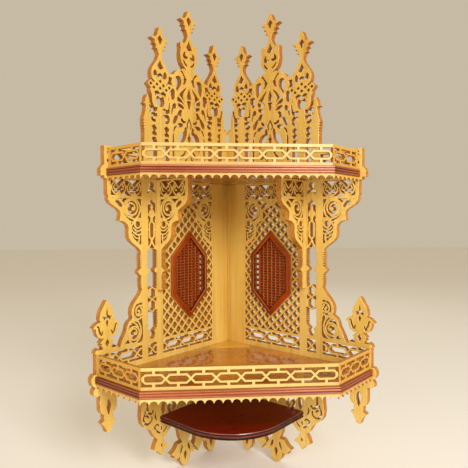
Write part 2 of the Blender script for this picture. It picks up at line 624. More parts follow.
def strip_pattern(f):
    """The narrow fret between the inner and the outer stile."""
    c = STRIP_MID
    x0, x1 = INNER_END + 0.7, OUTER_STILE - 0.7
    strip = f.seen(c)
    strip.blob(both([(0, 300.2), (4, 299), (5.4, 295.4), (4, 291.8), (2.3, 289.6), (4.4, 287.6), (8, 285.4),
                     (9, 280.6), (5.6, 282), (0, 284.2)]), False)
    strip.cut(both([(0, 271.5), (3, 267), (8, 264), (8, 247), (3.2, 245.8), (8, 243), (8, 238), (6, 235.5),
                    (8, 233), (8, 190), (0, 189)]))
    strip.blob(both([(0, 262.5), (2.6, 259), (2.4, 254), (5.8, 249.5), (6, 244), (2.6, 239.5), (2.2, 235)]))
    f.ribbon([(x0 - 1, 245.4), (x1 + 1, 245.4)], 2.2, smooth=False)
    strip.wood(both([(0, 237), (6.4, 231), (6.4, 208), (0, 201)]))
    f.ribbon([(x0 - 1, 220.5), (x1 + 1, 220.5)], 2.2, smooth=False)
    strip.cut(both([(0, 233.4), (3.6, 229.8), (3.6, 209.4), (0, 205.4)]))
    for g in strip.sides():
        g.ribbon([(9.6, 187.5), (4.4, 193.5), (-1.2, 202.5)], 2.8)
    f.cut(box(x0, x1, 124, 188.5))
    for g in strip.sides():
        g.ribbon([(9.6, 187.5), (4.4, 193.5)], 2.8)
    f.cut(box(x0, x1, 58, 124))
    f.blob([(x0, 59), (x0 + 1, 54), (c - 2.4, 49.6), (c + 2.4, 49.6), (x1 - 1, 54), (x1, 59)], False)
    strip.blob(both([(0, 51.4), (5.4, 47.4), (6.2, 42.4), (3.4, 38.2), (0, 37)]), False)
    for z in (113.6, 93):
        strip.wood(both([(0, 11.3), (x1 - c, 6), (x1 - c, -6), (0, -11.3)], z))
        strip.cut(both([(0, 9), (6.4, 4.8), (6.4, -4.8), (0, -9)], z))
    for way, edge in ((1, x0), (-1, x1)):
        f.seen(edge, way).wood([(-1, 147), (0, 147), (3.6, 150.6), (3.6, 153.4), (0, 157), (-1, 157)])
        for low, high in ((127, 146), (158, 186), (61, 85)):
            kerfs(f, edge - way * 2.2, edge + way * 0.4, low, high, width=1.5)
    chain(f, x0, x1, c - LINK, LINK)


def lower_wing_pattern():
    """The scroll wing beside the stile and the leaf finial on the rail's end, from the stile's edge."""
    f = Fret(FINE)
    f.wood([(-1, 122), (1.5, 121), (4, 115.6), (11, 108), (17.4, 100.5), (21.2, 93), (22.2, 85.5),
            (20.4, 78.6), (23, 75.6), (27, 73.4), (30.6, 67.6), (32.4, 60), (36.6, 52.4), (40.6, 45),
            (43.4, 38.4), (45.5, 34.5), (-1, 34.5)])
    # small scroll
    f.blob([(0.8, 99.2), (7, 100.4), (12.6, 98.8), (16.2, 93.6), (17.4, 86.6), (15.6, 80.2), (11, 76.8),
            (7, 76), (4, 78.6), (0.8, 79.8)], False)
    f.ribbon([(0, 95.6), (6, 96.6), (11.6, 93.6), (13.6, 87.6), (11.4, 81.8), (5.6, 80.4), (0, 83.2)], 3.0)
    f.ribbon([(0, 84), (1.2, 90), (4.6, 94)], 3.4)
    f.ribbon([(11.8, 82), (7.2, 83.2), (5.4, 86.6), (7.6, 89.2)], (3, 3, 2.4))
    f.disc(8.0, 88.2, 2.3)
    # great scroll
    f.blob([(0.8, 72.6), (6, 73.4), (14, 72), (20, 71.4), (25, 68.6), (27.6, 63), (28.4, 56), (29.6, 50),
            (27.6, 44), (24, 40.2), (20, 38.6), (0.8, 38.2)], False)
    f.ribbon([(20.4, 75.6), (13, 73.4), (7, 68), (3.6, 60), (3.4, 51), (6.6, 43.4), (12.4, 38.4), (16, 36)],
             3.0)
    f.ribbon([(23, 72.6), (16, 69.4), (10, 63.4), (7.6, 55)], (3, 2.8, 2))
    f.ring(17.6, 53.0, 10.8, 3.0)
    f.ribbon([(22, 44), (26, 49), (25.6, 56), (20.6, 60.4), (14.6, 59.4), (11.8, 54.4), (13.2, 50.4)],
             (3.4, 3.0, 2.2))
    f.disc(15.4, 52.4, 3.0)
    f.cut([(29.5, 45.5), (36, 39.2), (26, 38.4)])
    f.ribbon([(22.4, 38), (27, 43), (31.4, 48.6)], 2.4)
    # leaf finial
    leaf = f.seen(280.6 - WING)
    leaf.wood(both([(0, 113), (3, 109.6), (6.4, 103.4), (10.4, 97.6), (12.8, 91), (13.2, 85), (11.4, 80.6),
                    (15.4, 80.2), (19, 78.6), (25, 72.8), (20.2, 71.2), (19.4, 65), (16.4, 58.8), (11, 55),
                    (5, 55.8), (3.4, 57.4), (12.6, 48.6), (9, 46.6), (14, 41.6), (20, 38.6), (22, 34)]))
    leaf.cut(both([(0, 101.5), (1.4, 95), (1.6, 91), (4.6, 88.4), (9, 88.2), (6.4, 86.2), (5.8, 82.6),
                   (2.4, 85), (0, 86.4)]))
    leaf.cut(both([(0, 83.6), (2.6, 78.6), (0, 71.8)]))
    leaf.cut(both([(0, 53.4), (4.2, 47.4), (0, 41.2)]))
    for g in leaf.sides():
        g.ribbon([(18.6, 74.8), (15.4, 73.6), (14, 67.4), (10.2, 60.8), (7.8, 66.4)], (2.0, 3.2, 2.2), False)
        g.cut([(9.4, 43.6), (12.4, 43.8), (17.4, 38.6), (7.4, 38.4)])
    return f


def apron_pattern():
    """Everything below the lower shelf: the end lugs, the great scroll and the pendants."""
    f = Fret(FINE)
    f.wood([(0, 2), (300, 2), (304.6, 3), (308.6, -2.4), (309.4, -8), (307, -13.4), (302, -17.4),
            (305.6, -21.6), (305.8, -27.4), (301, -31.4), (294, -31), (0, -31)])
    f.wood([(0, -20), (207, -20), (210.6, -42), (213, -62), (215, -76), (216, -89), (214.4, -100),
            (209, -107.6), (201, -113), (195, -118), (191, -125), (187, -131.6), (180, -137.6), (163, -136),
            (150, -124), (141, -114), (0, -114)])
    # end pendant
    end = f.seen(279.0)
    end.wood(both([(3.4, -92), (5.2, -86), (8.6, -80), (13.6, -75), (7.6, -71.6), (8.4, -67), (7.6, -62.4),
                   (12, -60.6), (15, -55), (15.4, -40), (14, -28)]))
    end.blob(both([(0, -39.6), (4.2, -48), (3, -57), (0, -64.6)]), False)
    # great C scroll: a hook round a bud, and a slit that runs round a nub below it
    f.ribbon([(201.8, -66), (202.8, -77), (201, -84.6), (195.6, -88.6), (191.6, -87.6)], (3, 4.4, 3), False)
    f.disc(190.8, -85.6, 2.2, False)
    f.ribbon([(206.8, -80.6), (208.6, -86.6), (211, -92), (209.4, -99.4), (203.8, -104), (197, -103),
              (193, -98.6), (194, -93.4)], (2.8, 3.6, 3), False)
    f.ribbon([(207.8, -88.8), (203.6, -90.4), (199.8, -94)], (2.2, 3.4, 2.6), False)
    f.blob([(184.6, -88.6), (187.6, -93.4), (186.6, -98.6), (181.4, -104), (184, -96.6)], False)
    # teardrop beside the post, with a curl hanging into it
    f.blob([(163.6, -79), (167.6, -73), (171.4, -79), (172.4, -89), (168.4, -97), (164, -90)], False)
    f.blob([(140, -84), (148, -78), (156, -82), (158.6, -92), (152, -99.6), (143, -98), (138, -92)], False)
    f.disc(149.6, -89, 3.6)
    f.ribbon([(146, -99.5), (150, -93), (149, -88)], (3, 3, 2.4))
    # half heart of slits above the second pendant
    f.ribbon([(160.6, -120.6), (166, -126.4), (171.4, -131)], (2.2, 3.2, 1.8), False)
    f.ribbon([(177.4, -114.4), (182, -110.8), (187, -113.6), (185.4, -119.6), (178.6, -125.4), (171.4, -131)],
             (2.4, 3.4, 1.8), False)
    f.ribbon([(171.8, -116.4), (172.8, -123)], (2.4, 3, 2), False)
    # second pendant
    second = f.seen(172.0)
    second.wood([(-6, -128), (-4.2, -141), (-8.4, -146), (-16.4, -155.6), (-9.6, -157.4), (-4.4, -161),
                 (0, -167.4), (5.6, -161), (10.4, -157), (16.6, -153.6), (13, -143.6), (8, -137), (7, -128)])
    second.cut(both([(0, -145.6), (2.2, -149.4), (0, -153.6)]))
    # body that carries the inner pendants
    f.wood([(0, -100), (176, -100), (166, -118), (150, -124), (138, -128), (131, -138), (128.6, -150),
            (124, -160), (108, -160), (102, -150), (99.6, -140), (97, -150), (90, -158), (84, -166),
            (0, -166)])
    third = f.seen(116.4)
    third.wood(both([(0, -206.4), (3, -205.4), (8.4, -200), (12.4, -193), (12.6, -185.4), (20, -187.4),
                     (27, -183.6), (22, -180.4), (17.4, -172), (12, -165), (6.6, -162), (6, -150)]))
    third.wood([(6, -160), (17, -161), (24, -170), (33, -174.6), (26, -181.6), (14, -186), (8, -176)])
    for g in third.sides():
        g.blob([(6.6, -166.6), (9.6, -169), (12.4, -176.4), (12.6, -181), (8.6, -177.6), (5.8, -171.6)],
               False)
    third.blob(both([(0, -178.6), (3.6, -183.4), (2.2, -190), (0, -195)]), False)
    f.blob([(86, -143), (94, -146), (95, -153), (88, -156), (81, -150)], False)
    fourth = f.seen(83.0)
    fourth.wood(both([(0, -191), (3.6, -184), (7.4, -180), (11.8, -176.5), (7, -169), (6, -158)]))
    fifth = f.seen(48.0)
    fifth.wood(both([(0, -206), (6.4, -200), (11, -192), (12.6, -181), (17.4, -176), (12.6, -172),
                     (13, -158)]))
    fifth.blob(both([(0, -174), (4, -181), (2.6, -189), (0, -194)]), False)
    f.wood([(62, -156), (60, -172), (66, -180), (73, -174), (77, -158)])
    f.blob([(64, -161), (66, -171), (71, -168), (72, -161)], False)
    f.cut([(-5, -146), (18, -146), (26, -156), (33, -166), (33, -172), (-5, -172)])
    return f


def wall_pattern():
    """The whole pattern of one wall board, drawn from the corner outwards."""
    f = Fret()
    f.add(crest_pattern())
    f.add(shelf_end_pattern())
    f.wood(box(0, WING, -20, 316))
    lattice(f)
    bracket = bracket_pattern()
    f.add(bracket, STILE, 1, LATTICE_MID - STILE)
    f.add(bracket, LATTICE_END, -1, LATTICE_MID - STILE)
    f.wood(box(STILE - 1, LATTICE_END + 1, 300.6, 306))
    f.wood(medallion(-1.0))
    f.cut(medallion(MEDALLION_HOLE))
    wall_link, wing_link = 34.5, 35.5
    chain(f, STILE, LATTICE_END, LATTICE_MID - 2.5 * wall_link, wall_link)
    strip_pattern(f)
    f.add(bracket, WING)
    neck(f.seen(WING))
    f.wood(box(WING - 1, 300, 0, 36))
    f.add(lower_wing_pattern(), WING)
    f.wood(box(WING - 1, 300, 30.5, 36))
    chain(f, WING + 0.8, 295.5, 223 - wing_link, wing_link)
    f.add(apron_pattern())
    f.wood(box(0, 300, -9, 6))
    f.cut(box(-40, 0.75 * GAP, -260, 700))
    return f


def rail_pattern(length, is_front):
    """Two bars with a chain of long links and short posts between them."""
    f = Fret()
    bar, middle, rise, nose, strand, post = 4.7, 15.8, 5.8, 5.7, 2.8, 4.0
    start = -length / 2 if is_front else 0.0
    f.wood(box(start, start + length, 0, RAIL_HEIGHT))
    if is_front:
        links = round(length / LINK)
        crossings = [(i - links / 2) * LINK for i in range(links + 1)]
        crossings[0], crossings[-1] = start + 1.5, start + length - 1.5
        f.cut(box(start - 1, start + length + 1, bar, RAIL_HEIGHT - bar))
    else:
        links = int(length / LINK + 0.6)
        step = (length - 2 * (post + 1)) / links
        crossings = [start + post + 1 + i * step for i in range(links + 1)]
        f.cut(box(crossings[0], crossings[-1], bar, RAIL_HEIGHT - bar))

    def link(left, right, grow):
        slant = hypot(rise, nose)
        tip, inset, high = grow * slant / rise, grow * (slant - nose) / rise, rise + grow
        left_tip, right_tip = [(left - tip, middle)], [(right + tip, middle)]
        if is_front and left == crossings[0]:
            left_tip = [(left - tip + 1.6, middle + z) for z in (2.6, 0.9, -0.9, -2.6)]
        if is_front and right == crossings[-1]:
            right_tip = [(right + tip - 1.6, middle + z) for z in (-2.6, -0.9, 0.9, 2.6)]
        lower, upper = middle - high, middle + high
        return (left_tip + [(left + nose - inset, lower), (right - nose + inset, lower)]
                + right_tip + [(right - nose + inset, upper), (left + nose - inset, upper)])

    spans = list(zip(crossings, crossings[1:]))
    for left, right in spans:
        f.wood(box((left + right - post) / 2, (left + right + post) / 2, 1, RAIL_HEIGHT - 1))
        f.wood(link(left, right, strand / 2))
    for left, right in spans:
        f.cut(link(left, right, -strand / 2))
    return f


def valance_pattern(length, is_front):
    """A strip with a row of hollow scallops and sharp points between them along its lower edge."""
    start = -length / 2 if is_front else 0.0
    scallops = round(length / SCALLOP)
    width = length / scallops
    steps, spread, depth = 9, 0.46, 5.4
    lower = []
    for i in range(scallops):
        left = start + i * width
        lower.append((left, -VALANCE_DROP))
        for k in range(steps):
            turn = pi * (k + 0.5) / steps
            lower.append((left + width * (0.5 - spread * cos(turn)), -VALANCE_DROP + depth * sin(turn)))
    f = Fret()
    f.wood([(start + length, 0), (start, 0)] + lower + [(start + length, -VALANCE_DROP)])
    return f


def inner_bracket_pattern():
    """The bracket of the wall boards with a ringed neck below, on a board of its own."""
    foot, strip = 119.0, 8.5
    f = Fret()
    f.wood(box(GAP, strip + 0.5, foot, 306))
    f.add(bracket_pattern(), strip)
    f.wood([(1, foot), (11.0, foot), (11.5, foot + 3), (11.5, 147), (17, 151), (17, 153), (11.5, 157),
            (11.5, 186), (1, 192)])
    kerfs(f, strip + 1.4, strip + 5, 123, 144.5)
    kerfs(f, strip + 1.4, strip + 5, 158.5, 184)
    f.cut(box(-2, 90, UPPER_TOP - BOARD - GAP, 400))
    return f


def band_pattern():
    """The medallion's flat hexagonal band."""
    f = Fret()
    f.wood(medallion(0))
    f.cut(medallion(MEDALLION_BAND))
    return f


def grille_pattern():
    """A net of upright and level bars; the column by the corner is open to the wall board behind it."""
    f = Fret()
    f.wood(medallion(MEDALLION_HOLE + GAP))
    middle = MEDALLION[2]
    corner = LATTICE_MID - (GRILLE_COLUMNS - 1) / 2 * GRILLE_PITCH
    half_gap, first, last = 2.9, 0.16, 0.76     # an opening's height by the corner, and its part of a row
    for k in range(-3, 4):
        z = middle + 2 * k * GRILLE_ROW
        f.cut(box(corner - GRILLE_PITCH, corner + GRILLE_SLOT / 2, z - half_gap, z + half_gap))
    for i in range(1, GRILLE_COLUMNS):
        x = corner + i * GRILLE_PITCH
        reach = MEDALLION[1] - MEDALLION_BAND * sqrt(2) - abs(x - LATTICE_MID) - GRILLE_SLOT / 2
        for k in range(-16, 16):
            low, high = (k + first) * GRILLE_ROW, (k + last + 0.08 * (k % 2)) * GRILLE_ROW
            if max(abs(low), abs(high)) < reach:
                f.cut(box(x - GRILLE_SLOT / 2, x + GRILLE_SLOT / 2, middle + low, middle + high))
    return f


# ---------------------------------------------------------------- shaping
def alone(piece):
    """Select this piece and nothing else."""
    bpy.ops.object.select_all(action="DESELECT")
    piece.select_set(True)
    bpy.context.view_layer.objects.active = piece


def edited(piece, *steps):
    """Run edit-mode steps on everything selected in the piece."""
    alone(piece)
    bpy.ops.object.mode_set(mode="EDIT")
    bpy.ops.mesh.select_all(action="SELECT")
    for step in steps:
        step()
    bpy.ops.object.mode_set(mode="OBJECT")


def merge():
    bpy.ops.mesh.remove_doubles(threshold=WELD)


def face_outwards():
    bpy.ops.mesh.normals_make_consistent(inside=False)


def added(name, data):
    piece = bpy.data.objects.new(name, data)
    bpy.context.scene.collection.objects.link(piece)
    return piece


def sawn(name, loops, thickness, arris, rounds=0):
    """A board sawn to closed outlines in its own X and Y, with softened arrises; it is centred on Z = 0."""
    curve = bpy.data.curves.new(name, "CURVE")
    curve.dimensions = "2D"
    curve.fill_mode = "BOTH"
    curve.extrude = (thickness / 2 - arris) * MM
    curve.bevel_depth = arris * MM
    curve.offset = -arris * MM
    curve.bevel_resolution = rounds
    for loop in loops:
        spline = curve.splines.new("POLY")
        spline.points.add(len(loop) - 1)
        spline.points.foreach_set("co", [c for x, y in loop for c in (x * MM, y * MM, 0, 1)])
        spline.use_cyclic_u = True
    alone(added(name, curve))
    bpy.ops.object.convert(target="MESH")
    piece = bpy.context.object
    edited(piece, merge, face_outwards)
    return piece


def inset_by(loops, wanted):
    """Every loop's points moved into the wood by up to the wanted amount, less where the wood is too narrow."""
    outer = np.array([point for loop in loops for point in loop])
    ends = np.cumsum([len(loop) for loop in loops])
    starts = ends - [len(loop) for loop in loops]
    after, before = np.arange(len(outer)) + 1, np.arange(len(outer)) - 1
    after[ends - 1], before[starts] = starts, ends - 1
    ahead = outer[after] - outer
    ahead /= np.linalg.norm(ahead, axis=1)[:, None]
    left = np.stack([-ahead[:, 1], ahead[:, 0]], 1)
    mitre = left + left[before]
    mitre /= np.maximum((mitre ** 2).sum(1) / 2, SHARPEST)[:, None]
    amount = np.full(len(outer), wanted)
    for _ in range(TRIES):
        inner = outer + mitre * amount[:, None]
        turned = ((inner[after] - inner) * ahead).sum(1) < SHORTEST
        points, _, faces, whence, *_ = delaunay_2d_cdt(
            [Vector(point) for point in inner], list(enumerate(after.tolist())), [], 0, MEET)
        crossed = [Vector(point) for point, of in zip(points, whence) if len(of) != 1]
        tight = turned | turned[before]
        for point in crossed:
            tight |= np.hypot(*(inner - point).T) < CROWDED * wanted
        if not tight.any():
            break
        amount[tight] *= 0.5
    place = np.array([of[0] if of else np.argmin(np.hypot(*(inner - point).T))
                      for point, of in zip(points, whence)])
    faces = place[np.array(faces)]
    centres = inner[faces].mean(1)
    turns = np.zeros(len(faces), int)
    for x0, z0, x1, z1 in np.hstack([inner, inner[after]]).tolist():
        rows = (z0 <= centres[:, 1]) != (z1 <= centres[:, 1])
        x, z = centres[rows].T
        side = (x1 - x0) * (z - z0) - (x - x0) * (z1 - z0)
        turns[rows] += np.where(z1 > z0, side > 0, -1 * (side < 0))
    return outer, after, inner, faces[turns > 0]


def fretted(name, loops, thickness, arris):
    """A dense fret as an upright board: X along it, Z up, front at Y = 0 and back at Y = thickness."""
    outer, after, inner, faces = inset_by(loops, arris)
    count = len(outer)
    rings = [np.insert(shape, 1, depth, axis=1) for shape, depth in
             ((inner, 0), (outer, arris), (outer, thickness - arris), (inner, thickness))]
    turn_left(inner, faces)
    here = np.arange(count)
    walls = [np.stack([here, here + count, after + count, after], 1) + ring * count for ring in range(3)]
    mesh = bpy.data.meshes.new(name)
    mesh.from_pydata((np.concatenate(rings) * MM).tolist(), [],
                     faces.tolist() + (faces[:, ::-1] + 3 * count).tolist() + np.concatenate(walls).tolist())
    return added(name, mesh)


def points_of(mesh):
    co = np.zeros(len(mesh.vertices) * 3)
    mesh.vertices.foreach_get("co", co)
    return co.reshape(-1, 3)


def moved(piece, change):
    """Move the piece's points by a function of an array of them, in millimetres."""
    co = change(points_of(piece.data) / MM) * MM
    piece.data.vertices.foreach_set("co", co.ravel())
    piece.data.update()


def upright(piece, thickness):
    """Stand a flat board up: X along it, Z up, front at Y = 0 and back at Y = thickness."""
    moved(piece, lambda co: np.stack([co[:, 0], thickness / 2 - co[:, 2], co[:, 1]], 1))


def mitred(piece, slopes):
    """Slant the ends of a strip along X: a slope is how far its back runs past its front."""
    def slant(co):
        low, high = co[:, 0].min(), co[:, 0].max()
        at_low, at_high = co[:, 0] < low + END, co[:, 0] > high - END
        co[at_low, 0] -= slopes[0] * co[at_low, 1]
        co[at_high, 0] += slopes[1] * co[at_high, 1]
        return co
    moved(piece, slant)


def bevelled(piece):
    """Slope the medallion's band back from its inner to its outer edge."""
    width, height, middle = MEDALLION
    thickness = MEDALLION_PROUD - GAP

    def slope(co):
        across, up = abs(co[:, 0] - LATTICE_MID), abs(co[:, 2] - middle)
        inset = np.minimum(width - across, (height - across - up) / sqrt(2))
        fall = MEDALLION_FALL * (1 - np.clip(inset / MEDALLION_BAND, 0, 1))
        co[:, 1] += fall * (1 - co[:, 1] / thickness)
        return co
    moved(piece, slope)


def dressed(piece, face, edge=None, arris=None, axis=1):
    """Give faces, sawn edges and worn arrises their finishes, by how each face looks along the axis."""
    for material in (face, edge or face, arris or face):
        piece.data.materials.append(material)
    for polygon in piece.data.polygons:
        looks = abs(polygon.normal[axis])
        polygon.material_index = 0 if looks > FACE_ON else 1 if looks < EDGE_ON else 2


def grained(piece, along, shift):
    """Keep the piece's own shape as the grain's coordinates, grain running along axis 0, 1 or 2.

    The shift, in metres, gives each piece a stretch of grain of its own.
    """
    co = np.roll(points_of(piece.data), 2 - along, axis=1) + shift
    layer = piece.data.attributes.new("grain", "FLOAT_VECTOR", "POINT")
    layer.data.foreach_set("vector", co.ravel())


def placed(piece, x, y, z, turn=0.0, side=1):
    """Set the piece down in the row's frame, its place kept in its mesh."""
    alone(piece)
    piece.location = (x * MM, y * MM, z * MM)
    piece.rotation_euler = (0, 0, radians(turn))
    piece.scale = (side, 1, 1)
    bpy.ops.object.transform_apply(location=True, rotation=True, scale=True)
    edited(piece, face_outwards)


def finished(piece, node):
    """Smooth curved walls, and let the piece stand for its CAD node."""
    alone(piece)
    bpy.ops.object.shade_smooth_by_angle(angle=radians(SMOOTH_TURN))
    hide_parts(node)
    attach(piece, "root")


def stood(piece, shift, place, turn, side, cad, face, edge, arris):
    """Give an upright board its finishes, and set it down at its place on the plan."""
    dressed(piece, face, edge, arris)
    grained(piece, 2, shift)
    placed(piece, *place, 0, turn, side)
    finished(piece, cad)


# ---------------------------------------------------------------- places round the shelves
def wall_point(side, along, off=0.0):
    """Plan position: along a wall from the corner, then off its room face. Side 1 is right."""
    return (side * (along - off) / sqrt(2), CORNER_Y - (along + off) / sqrt(2))


Strip = namedtuple("Strip", "level word is_front length slopes place top turn side")


def strips(proud):
    """The front, left and right strip round both shelves: slopes of its ends, place, turn and side."""
    mitre = -tan(radians(WALL_TURN / 2))
    for level, (along, off), top in LEVELS:
        half = (along - off) / sqrt(2) - proud * mitre - GAP / 2
        place = (0.0, wall_point(1, along, off)[1] - proud)
        yield Strip(level, "front", True, 2 * half, (mitre, mitre), place, top, 0.0, 1)
        length = off - proud * mitre - 1.5 * GAP
        for side, word in SIDES:
            place = wall_point(side, along + proud, length + GAP)
            yield Strip(level, word, False, length, (mitre, 0), place, top, side * WALL_TURN, side)


def fitted(piece, strip, kind, height, face, edge, arris, shift=0.0):
    """Mitre a strip, give it its finishes, and set it down against its shelf."""
    mitred(piece, strip.slopes)
    dressed(piece, face, edge, arris)
    grained(piece, 0, strip.turn / 90 + strip.top * MM + shift)
    placed(piece, *strip.place, height, strip.turn, strip.side)
    finished(piece, f"{strip.level}_{kind}_{strip.word}")


# ---------------------------------------------------------------- finishes
def linear(code):
    """A colour from its sRGB hex code."""
    parts = [int(code[i:i + 2], 16) / 255 for i in (0, 2, 4)]
    return tuple(p / 12.92 if p <= 0.04045 else ((p + 0.055) / 1.055) ** 2.4 for p in parts)


def node(tree, kind, inputs=None, out=0, **settings):
    """Add a node with its settings and inputs, linking what comes from another node."""
    made = tree.nodes.new(kind)
    for key, value in settings.items():
        setattr(made, key, value)
    for key, value in (inputs or {}).items():
        socket = made.inputs[key]
        if isinstance(value, bpy.types.NodeSocket):
            tree.links.new(value, socket)
        else:
            socket.default_value = (*value, 1) if socket.type == "RGBA" else value
    return made.outputs[out]


def blank(name):
    material = bpy.data.materials.new(name)
    material.use_nodes = True
    tree = material.node_tree
    return material, tree, tree.nodes["Principled BSDF"]


def set_on(shader, **values):
    """Set a shader's own sockets, named with underscores for spaces."""
    for key, value in values.items():
        shader.inputs[key.replace("_", " ")].default_value = value


def tone(colour):
    """A colour from its hex code, or as it comes from the panel."""
    return linear(colour) if isinstance(colour, str) else tuple(colour)


def layered(tree, colour, layers):
    """Lay tones over a colour, each as strong as a noise in the grain's coordinates makes it.

    A layer is the size of its marks in millimetres; the noise's detail, roughness and distortion; the part
    of it that shows and how much at most; and its tone. Returns the colour, each noise and each strength.
    """
    place = node(tree, "ShaderNodeAttribute", attribute_name="grain", out=1)
    noises, strengths = [], []
    for marks, (detail, roughness, distortion), (low, high, most), over in layers:
        scaled = node(tree, "ShaderNodeMapping", {"Vector": place, "Scale": [1 / (mm * MM) for mm in marks]})
        noises.append(node(tree, "ShaderNodeTexNoise", {"Vector": scaled, "Scale": 1.0, "Detail": detail,
                                                        "Roughness": roughness, "Distortion": distortion}))
        strengths.append(node(tree, "ShaderNodeMapRange", {"Value": noises[-1], "From Min": low,
                                                           "From Max": high, "To Max": most}))
        colour = node(tree, "ShaderNodeMix", {0: strengths[-1], 6: colour, 7: over}, 2, data_type="RGBA")
    return colour, noises, strengths


def aged(tree, colour, low, high, deepest):
    """Varnish that deepens between two heights, where dust and smoke were never wiped off."""
    place = node(tree, "ShaderNodeTexCoord", out="Object")
    height = node(tree, "ShaderNodeSeparateXYZ", {"Vector": place}, "Z")
    amount = node(tree, "ShaderNodeMapRange", {"Value": height, "From Min": low, "From Max": high})
    return node(tree, "ShaderNodeMix", {0: amount, 6: colour, 7: deepest}, 2, data_type="RGBA",
                blend_type="MULTIPLY")


def woody(tree, shader, colour, age, rough, relief):
    """Link a wood's colour, roughness and relief to its shader.

    Rough is a noise, the part of it that shows and the roughness at its ends; relief is a height, how
    strong it is and how deep in metres.
    """
    noise, *span = rough
    height, strength, distance = relief
    ends = dict(zip(("From Min", "From Max", "To Min", "To Max"), span))
    links = {"Base Color": aged(tree, colour, *age) if age else colour,
             "Roughness": node(tree, "ShaderNodeMapRange", {"Value": noise, **ends}),
             "Normal": node(tree, "ShaderNodeBump", {"Height": height, "Strength": strength,
                                                     "Distance": distance})}
    for key, value in links.items():
        tree.links.new(value, shader.inputs[key])
    set_on(shader, IOR=1.5)


def planed_wood(name, pale, deep, streak, ring=5.0, contrast=0.5, roughness=0.42, coat=0.2, bump=0.12,
                shine=0.5, tint=(1, 1, 1), age=None, coat_roughness=0.18):
    """Sanded and varnished wood: broad tone, growth stripes, pores, dull and glossy patches."""
    material, tree, shader = blank(name)
    pale, deep, streak = tone(pale), tone(deep), tone(streak)
    colour, (_, _, pores, rubbed), (_, stripes, _, _) = layered(tree, pale, (
        ((46, 46, 260), (2.0, 0.5, 0.0), (0.3, 0.7, 1.0), deep),
        ((ring, ring, 190), (3.0, 0.55, 0.25), (0.5, 0.72, contrast), streak),
        ((0.7, 0.7, 16), (2.0, 0.6, 0.0), (0.56, 0.75, 0.28 * contrast + 0.06), streak),
        ((9, 9, 22), (3.0, 0.6, 0.0), (0.55, 0.8, 0.16), pale)))
    height = node(tree, "ShaderNodeMath", {0: stripes, 1: pores}, operation="ADD")
    woody(tree, shader, colour, age, (rubbed, 0.3, 0.75, roughness - 0.08, roughness + 0.12),
          (height, bump, 0.0004))
    set_on(shader, Specular_IOR_Level=shine, Specular_Tint=(*tint, 1), Coat_Weight=coat,
           Coat_Roughness=coat_roughness)
    return material


def sawn_wood(name, pale, deep, roughness=0.62, age=None):
    """The wall of a saw cut: end grain soaked darker with varnish, and fine marks across the board."""
    material, tree, shader = blank(name)
    colour, (soak, marks), _ = layered(tree, tone(pale), (
        ((5, 5, 7), (3.0, 0.6, 0.0), (0.3, 0.7, 1.0), tone(deep)),
        ((0.45, 6.0, 0.45), (2.0, 0.5, 0.0), (0.45, 0.75, 0.2), tone(deep))))
    woody(tree, shader, colour, age, (soak, 0.3, 0.7, roughness - 0.1, roughness + 0.1), (marks, 0.25, 0.0003))
    return material


FINISHES = {}
WARM = (1.0, 0.5, 0.34)         # tint of the varnish's sheen on stained wood
CREST_AGE = (0.30, 0.56, (0.80, 0.68, 0.46))    # from, to, and the deepest tone of the varnish up the crest
CREAM_AGE = (0.12, 0.32, (0.88, 0.76, 0.66))    # the same on the upper front rail


